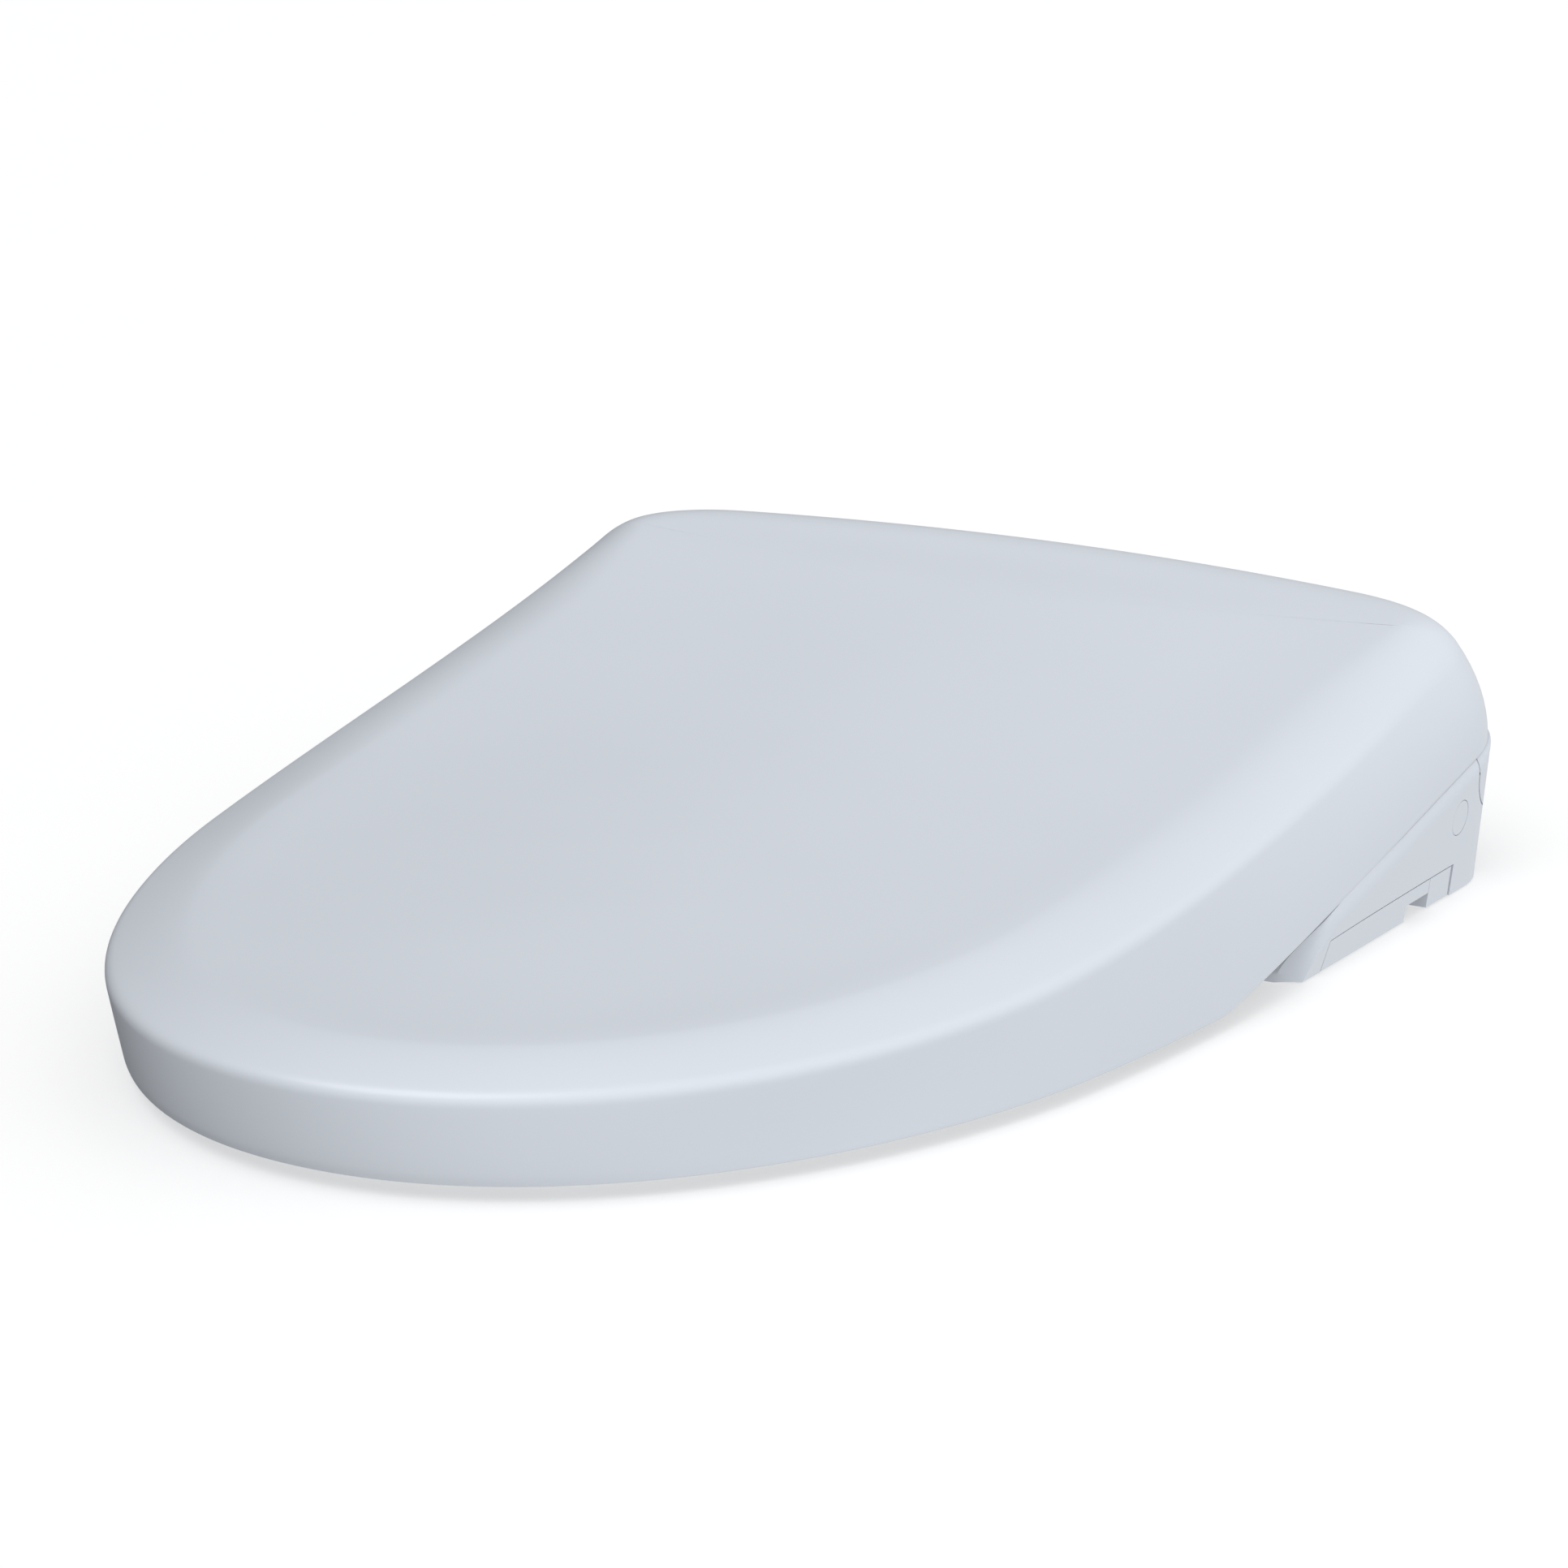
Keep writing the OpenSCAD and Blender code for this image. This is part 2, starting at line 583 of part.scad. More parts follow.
// Direction of a path at its point i
function heading(path, i) =
    let (a = path[max(i - 1, 0)], b = path[min(i + 1, len(path) - 1)]) (b - a) / norm(b - a);
// Tube swept along a path that never runs straight up
module hose(path) {
    n = hose_sides;
    m = len(path);
    points = [for (i = [0:m - 1])
        let (d = heading(path, i), across = cross(d, [0, 0, 1]), u = across / norm(across), v = cross(u, d))
        for (k = [0:n - 1]) path[i] + hose_r * (u * cos(360 * k / n) + v * sin(360 * k / n))];
    polyhedron(points, concat([[for (k = [0:n - 1]) k]], [[for (k = [n - 1:-1:0]) (m - 1) * n + k]],
        [for (i = [0:m - 2]) for (k = [0:n - 1]) let (a = i * n + k, b = i * n + (k + 1) % n)
            each [[a, a + n, b], [b, a + n, b + n]]]));
}
// Points of a path with its corners cut twice, so that it runs smoothly
function cut_corners(p) = concat([p[0]], [for (i = [0:len(p) - 2]) each [p[i] * 0.75 + p[i + 1] * 0.25,
    p[i] * 0.25 + p[i + 1] * 0.75]], [p[len(p) - 1]]);
module water_hoses() {
    color("lightblue") hose(cut_corners(cut_corners([[-133.8, -18, 15], [-118, -18, 13], [-106, -1, 12.2],
        [-24, -1, 12.2], [0, -6, 14], [8, -20, 18], [21.8, -20, 18]])));
    color("lightblue") hose(cut_corners(cut_corners([[68.2, -60, 22], [80, -60, 24], [78, -30, 46],
        [40, -24, 50], [11.5, -24, 42]])));
}

// ---- Boards ----
module control_board() {
    color("seagreen") block([26, -66, 56], [100, -14, 57.6]);
    color(dark) {
        block([34, -34, 57.6], [50, -20, 60]);
        block([70, -60, 57.6], [92, -42, 60]);
    }
}
module power_board() {
    color("seagreen") block([72, -50, 10], [74.6, -6, 34]);
    color("gold") block([74.6, -40, 12], [96, -18, 32]);
}

// ---- Wand and its drive; the wand lies along w, sloping down to the front ----
wand_z = 13;
module along_wand(from) {
    translate([0, -unit_front, wand_z]) rotate([wand_tilt, 0, 0]) translate([0, from, 0]) children();
}
pinion_r = 7;
rack_top = wand_r + 3;
module wand_tube() {
    color(white) along_wand(6) {
        rotate([-90, 0, 0]) cylinder(r = wand_r, h = wand_len - 6);
        block([-2.5, 14, 0], [2.5, wand_len - 6, rack_top]);
    }
}
module wand_tip() {
    color("whitesmoke") along_wand(6) difference() {
        union() {
            rotate([90, 0, 0]) cylinder(r = wand_r, h = 4);
            translate([0, -4, 0]) rotate([90, 0, 0]) cylinder(r1 = wand_r, r2 = wand_r - 3, h = 3);
        }
        translate([0, -1.8, 0]) cylinder(r = 1, h = 20);
    }
}
module wand_guide() {
    color("gainsboro") along_wand(0) difference() {
        block([-11, 13, -10.5], [11, 74, 14]);
        rotate([-90, 0, 0]) cylinder(r = wand_r + 0.4, h = 200);
        block([-3.2, -1, 0], [3.2, 200, 15]);
        block([-12, 26, 8.6], [12, 56, 15]);
    }
}
pinion_at = [40, rack_top + pinion_r + 0.3];
module wand_pinion() {
    color("ivory") along_wand(0) translate([-6, pinion_at[0], pinion_at[1]]) rotate([0, 90, 0]) {
        difference() {
            cylinder(r = pinion_r, h = 12);
            translate([0, 0, -1]) cylinder(r = 2.05, h = 14);
        }
    }
}
module wand_motor() {
    color("silver") along_wand(0) translate([0, pinion_at[0], pinion_at[1]]) rotate([0, 90, 0]) {
        translate([0, 0, -8]) cylinder(r = 2, h = 17);
        translate([0, 0, 9 - eps]) cylinder(r = 9, h = 12);
    }
}

// ---- Dryer: blower, heater and outlet flap ----
dryer_x0 = -72;
dryer_x1 = -38;
fan_y = -22;
fan_z = 38;
module dryer_housing() {
    color("gainsboro") difference() {
        union() {
            along_x(dryer_x0, dryer_x1, 25, fan_y, fan_z);
            block([dryer_x0, -unit_front + 3.6, 15], [dryer_x1, fan_y, 35]);
        }
        along_x(dryer_x0 + 2, dryer_x1 - 2, 23, fan_y, fan_z);
        along_x(dryer_x0 - 1, dryer_x0 + 3, 13, fan_y, fan_z);
        block([dryer_x0 + 2, -unit_front - 1, 17], [dryer_x1 - 2, fan_y, 33]);
    }
    color("silver") difference() {
        along_x(dryer_x1 - 9, dryer_x1 - 2 + eps, 6, fan_y, fan_z);
    }
    color("silver") along_x(dryer_x1 - 26, dryer_x1 - 9 + eps, 1.5, fan_y, fan_z);
}
module impeller(x0, w, r, hub, y, z, bore) {
    difference() {
        union() {
            along_x(x0 + w - 1.5, x0 + w, r, y, z);
            along_x(x0 + 3, x0 + w, hub, y, z);
            difference() {
                along_x(x0, x0 + 1.5, r, y, z);
                along_x(x0 - 1, x0 + 2, r - 5, y, z);
            }
            for (a = [0:24:359]) translate([x0, y, z]) rotate([a, 0, 0]) {
                block([0, r - 5, -0.6], [w, r - 0.4, 0.6]);
            }
        }
        along_x(x0 - 1, x0 + w + 1, bore, y, z);
    }
}
module dryer_impeller() {
    color(dark) impeller(dryer_x0 + 5, 17, 20, 5, fan_y, fan_z, 1.55);
}
module dryer_heater() {
    color("silver") for (z = [19.5:3:31]) {
        block([dryer_x0 + 2.2, -unit_front + 12, z], [dryer_x1 - 2.2, -unit_front + 24, z + 1]);
    }
}
module dryer_flap() {
    color(white) union() {
        block([-73.6, -unit_front + 0.4, 14.6], [-36.4, -unit_front + 2, 33]);
        along_x(-73.6, -36.4, 1.4, -unit_front + 1.6, 34);
    }
}

// ---- Deodorizer: blower and the cartridge that pulls out at the front ----
module deodorizer_housing() {
    color("gainsboro") difference() {
        union() {
            along_x(-101, -79, 20, -26, 44);
            block([-101, -66, 22], [-79, -26, 34]);
        }
        along_x(-99, -81, 18, -26, 44);
        along_x(-103, -98, 9, -26, 44);
        block([-99, -64, 21], [-81, -26, 32]);
    }
    color("silver") along_x(-94, -81 + eps, 1.5, -26, 44);
}
module deodorizer_impeller() {
    color(dark) impeller(-97, 13, 15, 4, -26, 44, 1.55);
}
module deodorizer_cartridge() {
    color(dark) difference() {
        block([-101.4, -unit_front - 0.5, 8.4], [-77.6, -unit_front + 50, 20.4]);
        for (x = [-97:5:-82]) block([x, -unit_front - 1, 11], [x + 2.5, -unit_front + 4, 18]);
    }
}

// ---- Cable gland in the strip's notch ----
module gland(gap) {
    along_x(unit_hw - 5 - gap, half_w - 12, 2.6 + gap, (notch_y0 + button_y0) / 2, 2.8);
}
module cable_gland() {
    color(dark) gland(0);
}

// ---- Buttons ----
module release_button() {
    color(white) intersection() {
        union() {
            block([unit_hw + 20, button_y0, 0.3], [half_w + 5, button_y1 - 0.5, strip_h - 0.4]);
        }
        rim_slab(1.2, 0, 20);
    }
}
module release_spring() {
    color("silver") difference() {
        along_x(unit_hw + 4, unit_hw + 15.9, 3, (button_y0 + button_y1) / 2, 5.8);
        along_x(unit_hw + 3, unit_hw + 16, 2, (button_y0 + button_y1) / 2, 5.8);
    }
}
button_at = [[-8, 16], [-112, 8.6]];
module round_button(p) {
    color(white) along_x(-half_w - 0.6, -half_w + 8, 5, p[0], p[1]);
}
module power_button() {
    round_button(button_at[0]);
}
module wash_button() {
    round_button(button_at[1]);
}

mounting_bracket();
bottom_case();
upper_cover();
side_caps();
hinge_pins();
lid_dampers();
water_inlet();
strainer_plug();
valve_block();
water_heater();
water_hoses();
control_board();
power_board();
wand_guide();
wand_motor();
wand_pinion();
wand_tube();
wand_tip();
dryer_housing();
dryer_impeller();
dryer_heater();
dryer_flap();
deodorizer_housing();
deodorizer_impeller();
deodorizer_cartridge();
cable_gland();
case_screws();
cover_windows();
release_button();
release_spring();
power_button();
wash_button();
seat_top();
seat_base();
seat_heater();
seat_arms();
seat_screws();
seat_bumpers();
lid_shell();
lid_arms();
lid_bumpers();
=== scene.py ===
import json
import math
import bmesh
import bpy
import numpy as np
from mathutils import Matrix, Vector


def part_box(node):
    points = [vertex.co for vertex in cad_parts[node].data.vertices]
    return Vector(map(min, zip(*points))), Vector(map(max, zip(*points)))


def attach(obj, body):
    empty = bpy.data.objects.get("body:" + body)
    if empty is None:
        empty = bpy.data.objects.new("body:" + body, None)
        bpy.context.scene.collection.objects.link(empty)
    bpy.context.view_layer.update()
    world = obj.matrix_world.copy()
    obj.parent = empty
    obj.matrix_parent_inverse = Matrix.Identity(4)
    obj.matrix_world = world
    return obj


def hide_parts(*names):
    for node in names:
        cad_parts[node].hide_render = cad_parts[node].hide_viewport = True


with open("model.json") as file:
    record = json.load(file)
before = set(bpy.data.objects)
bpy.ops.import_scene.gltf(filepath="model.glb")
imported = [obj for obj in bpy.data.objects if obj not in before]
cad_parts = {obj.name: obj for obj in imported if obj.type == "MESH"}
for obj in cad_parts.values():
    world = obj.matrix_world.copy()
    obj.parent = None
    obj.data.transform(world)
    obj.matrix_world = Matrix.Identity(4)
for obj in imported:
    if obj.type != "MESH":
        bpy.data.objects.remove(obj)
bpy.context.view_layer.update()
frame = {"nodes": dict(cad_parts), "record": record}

MM = 0.001
lid_lo, lid_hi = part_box("lid_shell")

# ---------------------------------------------------------------- outline of the lid's rim, in mm
LID_LEN = 520.0
HALF_W = lid_hi[0] / MM
REAR = lid_hi[1] / MM
FRONT = REAR - LID_LEN
NOSE_HANDLE = 0.526                      # of the half width: how blunt the front is
SIDE_AT, SIDE_TURN = (0.9, 0.367), 10.4  # a point of the side (of half width, of length), its angle
SIDE_HANDLE = 0.147
REAR_TURN = 2.2                          # angle of the side where the rear corner begins
CORNER_AT, CORNER_IN, CORNER_BACK = 0.893, 59.6, 8.3
CORNER_PULL = 0.58
RIM_COUNTS = (64, 40, 34, 20)            # points on the nose, the side, the corner and half the rear

# heights and insets of the lid's section, in mm
RIM_FRONT_Z = lid_lo[2] / MM
RIM_REAR_Z, RIM_SLOPE = 61.3, 0.229
SHOULDER_FRONT, SHOULDER_DIP, SHOULDER_RISE = 37.3, 11, 69.8
LEAN_FRONT, LEAN_GAIN, LEAN_POWER = -11.1, 25.7, 0.73
WALL_POWER, WALL_POWER_GAIN = 0.75, 1.25
LID_WALL = 3.0
BAND_W, BAND_WIDENING, BAND_REAR_W, BAND_H = 28.5, 4.5, 22, 8.2
BAND_POWER, BAND_POWER_GAIN = 1.38, 0.62
REAR_RISE = 1.3
CROWN = 1.8
LIP = ((LID_WALL, 0.6), (2.8, 0.15), (2.4, 0), (0.5, 0), (0.25, 0.06), (0.08, 0.2), (0.02, 0.4))
SPINE_FROM, SPINE_TO = 0.3, 0.86         # the lid's top rises toward this stretch of its middle line
FILLET, FILLET_SIDE, FILLET_REAR = 4.0, -1.2, 0.8


def bez(a, b, c, d, n):
    """n points of a cubic curve from a toward d, without d itself."""
    t = (np.arange(n) / n)[:, None]
    a, b, c, d = (np.asarray(v, float) for v in (a, b, c, d))
    return a * (1 - t) ** 3 + 3 * b * (1 - t) ** 2 * t + 3 * c * (1 - t) * t * t + d * t ** 3


def turned(degrees):
    """The direction this far to the right of straight back, seen from above."""
    return np.array([math.sin(math.radians(degrees)), math.cos(math.radians(degrees))])


def rim_half(counts):
    """The right half of the rim, from the middle of the front to the middle of the rear."""
    side = np.array([SIDE_AT[0] * HALF_W, SIDE_AT[1] * LID_LEN])
    start = np.array([HALF_W, CORNER_AT * LID_LEN])
    end = np.array([HALF_W - CORNER_IN, LID_LEN - CORNER_BACK])
    bow = math.atan2(2 * CORNER_BACK, end[0])
    out = np.array([math.cos(bow), -math.sin(bow)])
    step = np.linalg.norm(start - side) / 3
    ahead, behind = turned(SIDE_TURN), turned(REAR_TURN)
    return np.vstack([
        bez((0, 0), (NOSE_HANDLE * HALF_W, 0), side - ahead * SIDE_HANDLE * LID_LEN, side, counts[0]),
        bez(side, side + ahead * step, start - behind * step, start, counts[1]),
        bez(start, start + behind * (end[1] - start[1]) * CORNER_PULL,
            end + out * (start[0] - end[0]) * CORNER_PULL, end, counts[2]),
        bez(end, end - out * end[0] / 3, (end[0] / 3, LID_LEN), (0, LID_LEN), counts[3]),
        [(0, LID_LEN)]])


def both_sides(half):
    return np.vstack([half, (half * [-1, 1])[-2:0:-1]])


rim = both_sides(rim_half(RIM_COUNTS)) + [0, FRONT]
tangent = np.roll(rim, -1, 0) - np.roll(rim, 1, 0)
inward = np.stack([-tangent[:, 1], tangent[:, 0]], 1) / np.linalg.norm(tangent, axis=1)[:, None]


def smooth(t):
    """A soft step from 0 at t = 0 to 1 at t = 1."""
    u = np.clip(t, 0, 1)
    return u * u * (3 - 2 * u)


def along(y):
    """How far back y lies, from 0 at the lid's front to 1 at its rear."""
    return (np.asarray(y, float) - FRONT) / LID_LEN


def rim_z(y):
    return np.maximum(RIM_FRONT_Z, RIM_REAR_Z + RIM_SLOPE * (np.asarray(y, float) - REAR))


def shoulder(y):
    """Height of the wall's upper edge."""
    t = along(y)
    return SHOULDER_FRONT - SHOULDER_DIP * t + SHOULDER_RISE * t * t


def lean(y):
    """How far the wall's upper edge lies inside the rim; the wall overhangs at the front."""
    return LEAN_FRONT + LEAN_GAIN * np.maximum(along(y), 0) ** LEAN_POWER


def wall_power(y):
    return WALL_POWER + WALL_POWER_GAIN * smooth(along(y) / 0.4)


def band(y):
    """Width of the rolled band inside the shoulder: widest at the sides, tight at the back."""
    wide = BAND_W + BAND_WIDENING * smooth((along(y) - 0.3) / 0.3)
    return wide - (wide - BAND_REAR_W) * smooth((along(y) - 0.76) / 0.16)


def band_power(y):
    """Roundness of the band in section: a firm inner edge at the front, none at the sides."""
    return BAND_POWER + BAND_POWER_GAIN * smooth((along(y) - 0.3) / 0.4)


def fillet(y):
    """Reach of the soft edge on each side of the shoulder."""
    t = along(y)
    return FILLET + FILLET_SIDE * smooth((t - 0.3) / 0.3) + FILLET_REAR * smooth((t - 0.84) / 0.12)


def roof(y):
    """Height of the band's inner edge."""
    return shoulder(y) + BAND_H + REAR_RISE * smooth((along(y) - 0.75) / 0.2)


def rim_x(y):
    """Half width of the rim outline at y, behind its widest part at the front."""
    right = rim[(rim[:, 0] > 0) & (rim[:, 1] > FRONT + 60) & (rim[:, 1] < REAR - 12)]
    order = np.argsort(right[:, 1])
    return np.interp(y, right[order, 1], right[order, 0])


# ---------------------------------------------------------------- mesh helpers
def add_mesh(name, points, faces, sharp=None):
    """A mesh object from points in mm. Faces are smooth; edges sharper than `sharp` degrees stay crisp."""
    mesh = bpy.data.meshes.new(name)
    mesh.from_pydata([tuple(float(c) * MM for c in p) for p in points], [], faces)
    mesh.validate()
    ob = bpy.data.objects.new(name, mesh)
    bpy.context.scene.collection.objects.link(ob)
    b = bmesh.new()
    b.from_mesh(mesh)
    bmesh.ops.remove_doubles(b, verts=b.verts, dist=1e-7)
    bmesh.ops.recalc_face_normals(b, faces=b.faces)
    for f in b.faces:
        f.smooth = True
    if sharp is not None:
        for e in b.edges:
            if len(e.link_faces) == 2 and e.calc_face_angle() > math.radians(sharp):
                e.smooth = False
    b.to_mesh(mesh)
    b.free()
    return ob


def ring_faces(n, rings, closed=False):
    """Faces between rings of n points each; `closed` joins the last ring to the first."""
    faces = []
    for r in range(rings if closed else rings - 1):
        for i in range(n):
            a, b = r * n + i, r * n + (i + 1) % n
            s = ((r + 1) % rings - r) * n
            faces.append((a, b, b + s, a + s))
    return faces


def ladder(n, base):
    """Faces across a closed ring of n points that lies flat on its middle line."""
    faces = []
    for i in range(n // 2):
        quad = [base + i, base + i + 1, base + (n - i - 1) % n, base + (n - i) % n]
        face = list(dict.fromkeys(quad))
        if len(face) > 2:
            faces.append(tuple(face))
    return faces


def finish_piece(ob, body, material, replaces):
    """Gives the piece its material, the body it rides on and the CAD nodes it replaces."""
    ob.data.materials.clear()
    ob.data.materials.append(material)
    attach(ob, body)
    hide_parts(*replaces)


# ---------------------------------------------------------------- materials
def plastic(name, colour, roughness=0.32, coat=0.0, grain=0.0, tone=0.012, grain_scale=900.0, specular=0.5,
            subsurface=0.0):
    """Moulded plastic: faint tone changes, roughness that varies a little and a fine surface grain."""
    m = bpy.data.materials.new(name)
    m.use_nodes = True
    t = m.node_tree
    shader = t.nodes["Principled BSDF"]
    shader.inputs["IOR"].default_value = 1.49
    shader.inputs["Specular IOR Level"].default_value = specular
    shader.inputs["Coat Weight"].default_value = coat
    shader.inputs["Subsurface Weight"].default_value = subsurface
    shader.inputs["Subsurface Radius"].default_value = (0.006, 0.005, 0.004)
    coords = t.nodes.new("ShaderNodeTexCoord")
    broad = t.nodes.new("ShaderNodeTexNoise")
    broad.inputs["Scale"].default_value = 9.0
    broad.inputs["Detail"].default_value = 3.0
    t.links.new(coords.outputs["Object"], broad.inputs["Vector"])
    ramp = t.nodes.new("ShaderNodeMix")
    ramp.data_type = "RGBA"
    low = [max(c - tone, 0) for c in colour]
    high = [min(c + tone, 1) for c in colour]
    ramp.inputs["A"].default_value = (*low, 1)
    ramp.inputs["B"].default_value = (*high, 1)
    t.links.new(broad.outputs["Fac"], ramp.inputs["Factor"])
    t.links.new(ramp.outputs["Result"], shader.inputs["Base Color"])
    rough = t.nodes.new("ShaderNodeMapRange")
    rough.inputs["To Min"].default_value = roughness - 0.03
    rough.inputs["To Max"].default_value = roughness + 0.03
    t.links.new(broad.outputs["Fac"], rough.inputs["Value"])
    t.links.new(rough.outputs["Result"], shader.inputs["Roughness"])
    fine = t.nodes.new("ShaderNodeTexNoise")
    fine.inputs["Scale"].default_value = grain_scale
    fine.inputs["Detail"].default_value = 2.0
    t.links.new(coords.outputs["Object"], fine.inputs["Vector"])
    bump = t.nodes.new("ShaderNodeBump")
    bump.inputs["Strength"].default_value = 0.04 + grain
    bump.inputs["Distance"].default_value = 0.0002
    t.links.new(fine.outputs["Fac"], bump.inputs["Height"])
    t.links.new(bump.outputs["Normal"], shader.inputs["Normal"])
    return m


def metal(name, colour, roughness=0.3, lines=True):
    m = plastic(name, colour, roughness, tone=0.03, grain=0.05, grain_scale=500.0)
    m.node_tree.nodes["Principled BSDF"].inputs["Metallic"].default_value = 1.0
    if lines:
        t = m.node_tree
        coords = next(n for n in t.nodes if n.bl_idname == "ShaderNodeTexCoord")
        stretch = t.nodes.new("ShaderNodeMapping")
        stretch.inputs["Scale"].default_value = (0.08, 1, 1)
        fine = [n for n in t.nodes if n.bl_idname == "ShaderNodeTexNoise"][1]
        t.links.new(coords.outputs["Object"], stretch.inputs["Vector"])
        t.links.new(stretch.outputs["Vector"], fine.inputs["Vector"])
    return m


WHITE = (0.56, 0.59, 0.635)
mats = {
    "white_lid": plastic("lid_white", WHITE, 0.34),
    "white_cover": plastic("cover_white", WHITE, 0.36),
    "white_seat": plastic("seat_white", (0.58, 0.605, 0.64), 0.3),
    "white_part": plastic("part_white", (0.55, 0.575, 0.61), 0.42, grain=0.04),
    "grey_plastic": plastic("part_grey", (0.42, 0.44, 0.46), 0.5, grain=0.08),
    "dark_plastic": plastic("part_dark", (0.025, 0.027, 0.03), 0.45, grain=0.08, tone=0.006),
    "window": plastic("window_dark", (0.012, 0.012, 0.014), 0.12, coat=1.0, tone=0.003),
    "rubber": plastic("rubber_grey", (0.5, 0.51, 0.52), 0.7, grain=0.15),
    "steel": metal("steel_brushed", (0.55, 0.55, 0.56), 0.32),
    "brass": metal("brass_turned", (0.62, 0.46, 0.2), 0.28),
    "aluminium": metal("aluminium_fins", (0.72, 0.72, 0.73), 0.35),
    "copper_board": plastic("board_green", (0.02, 0.16, 0.06), 0.35, tone=0.02, grain=0.1, grain_scale=400),
    "heater_body": plastic("heater_cream", (0.6, 0.55, 0.43), 0.5, grain=0.08),
    "heater_foil": metal("heater_foil", (0.75, 0.75, 0.76), 0.3),
    "hose": plastic("hose_blue", (0.45, 0.6, 0.72), 0.4, tone=0.03),
}
slot_of = {p["node"]: p["material_slot"] for p in frame["record"]["subparts"]}
for node, ob in frame["nodes"].items():
    ob.data.materials.clear()
    ob.data.materials.append(mats[slot_of[node]])


# ---------------------------------------------------------------- lid
def wall_points(k):
    """The wall's outside, from the rim (k = 0) to the shoulder (k = 1)."""
    k = np.broadcast_to(k, len(rim))
    y = rim[:, 1]
    p = rim + inward * (lean(y) * k ** wall_power(y))[:, None]
    return np.column_stack([p, rim_z(y) + (shoulder(y) - rim_z(y)) * k])


def band_points(k, drop=0.0):
    """The band from the shoulder (k = 0) to its inner edge (k = 1), or its underside `drop` below."""
    k = np.broadcast_to(k, len(rim))
    y = rim[:, 1]
    p = rim + inward * (lean(y) + drop + (band(y) - drop) * k)[:, None]
    f = (1 - k) ** band_power(y)
    return np.column_stack([p, shoulder(y) * f + roof(p[:, 1]) * (1 - f) - drop])


def top_points(k, drop=0.0):
    """The lid's top from the band's inner edge (k = 0) to the middle line (k = 1)."""
    y = rim[:, 1]
    q = rim + inward * (lean(y) + band(y))[:, None]
    middle = np.clip(q[:, 1], FRONT + SPINE_FROM * LID_LEN, FRONT + SPINE_TO * LID_LEN)
    p = q * (1 - k) + np.column_stack([np.zeros(len(q)), middle]) * k
    return np.column_stack([p, roof(p[:, 1]) + CROWN * smooth(k) - drop])


def lid_shell():
    y = rim[:, 1]
    tall = shoulder(y) - rim_z(y)
    a_k, b_k = 1 - fillet(y) / tall, fillet(y) / band(y)
    # rings from the middle of the underside outwards, round the rim and up to the middle of the top
    rings = [top_points(k, LID_WALL) for k in (0.985, 0.8, 0.6, 0.4, 0.2)]
    rings += [band_points(k, LID_WALL) for k in (1, 0.75, 0.5, 0.3, 0.12, 0)]
    for k in (0.85, 0.6, 0.35, 0.12):
        p = rim + inward * (lean(y) * k ** wall_power(y) + LID_WALL)[:, None]
        rings.append(np.column_stack([p, rim_z(y) + (shoulder(y) - LID_WALL - rim_z(y)) * k]))
    for inset, up in LIP:
        rings.append(np.column_stack([rim + inward * inset, rim_z(y) + up]))
    for s in np.linspace(0.05, 1, 9):
        rings.append(wall_points(s * a_k))
    a, b, c = wall_points(a_k), wall_points(1.0), band_points(b_k)
    for t in np.linspace(0, 1, 9)[1:]:
        rings.append(a * (1 - t) ** 2 + 2 * b * t * (1 - t) + c * t * t)
    for s in np.linspace(0, 1, 12)[1:]:
        rings.append(band_points(b_k + (1 - b_k) * s))
    rings += [top_points(k) for k in (0.08, 0.18, 0.3, 0.43, 0.56, 0.68, 0.8, 0.9, 0.985)]
    n = len(rim)
    faces = ring_faces(n, len(rings)) + ladder(n, 0) + ladder(n, (len(rings) - 1) * n)
    return add_mesh("lid_shell_skin", np.vstack(rings), faces)


finish_piece(lid_shell(), "lid", mats["white_lid"], ["lid_shell"])

# ---------------------------------------------------------------- side pieces
HINGE_Y, HINGE_Z = 13.0, 43.5
PROUD = 1.2                              # how far the side faces stand outside the rim at the fold
DRAFT = 4.8                              # how much they draw in from the fold down to the floor
NOTCH, KEY = -53.0, (-34.2, -15.6)       # front of the cord's notch; both ends of the release button
STRIP_FRONT, STRIP_TOP, NOTCH_TOP = -119.0, 11.5, 6.1
ARM_R, ARM_CUT, ARM_SWEEP = 15.5, 16.2, 19.9
CHEEK_END = HINGE_Y - ARM_CUT
CHEEK_FOOT = 16.8
BODY_FRONT = -81
FOLD_DROP, FOLD_RISE, FOLD_RISE_FROM, FOLD_RISE_OVER = 6.4, 5.0, -3, 18
FOLD_TOE, FOLD_BEND, FOLD_START = -133.0, (-128.5, 13.2), -110
EDGE_TOE, EDGE_BEND, EDGE_START = -138.0, (-136.5, 17.5), -114
BAND_GAP, BAND_IN, TOE_IN = 0.15, 1.5, 8.6
CAP, CAP_R = (-15.6, 29.6), 6.4
POWER_AT, WASH_AT, BUTTON_R, BUTTON_DEPTH = (-8, 16), (-112, 8.6), 5.4, 10.5


def fold_z(y):
    """Height of the fold between a cheek's side face and the soft band under the lid's rim."""
    rise = smooth((np.asarray(y, float) - FOLD_RISE_FROM) / FOLD_RISE_OVER)
    return rim_z(y) - FOLD_DROP + FOLD_RISE * rise


def side_x(y, z):
    """Half width of the drafted side face at y and z."""
    return rim_x(y) + PROUD - DRAFT * (1 - np.minimum(z / np.maximum(fold_z(y), 12), 1.0))


def arc(centre, r, start, end, n):
    """n points [y, z] of an arc between two angles in degrees, counted from the rear upwards."""
    a = np.radians(np.linspace(start, end, n))
    return [(centre[0] + r * math.cos(v), centre[1] + r * math.sin(v)) for v in a]


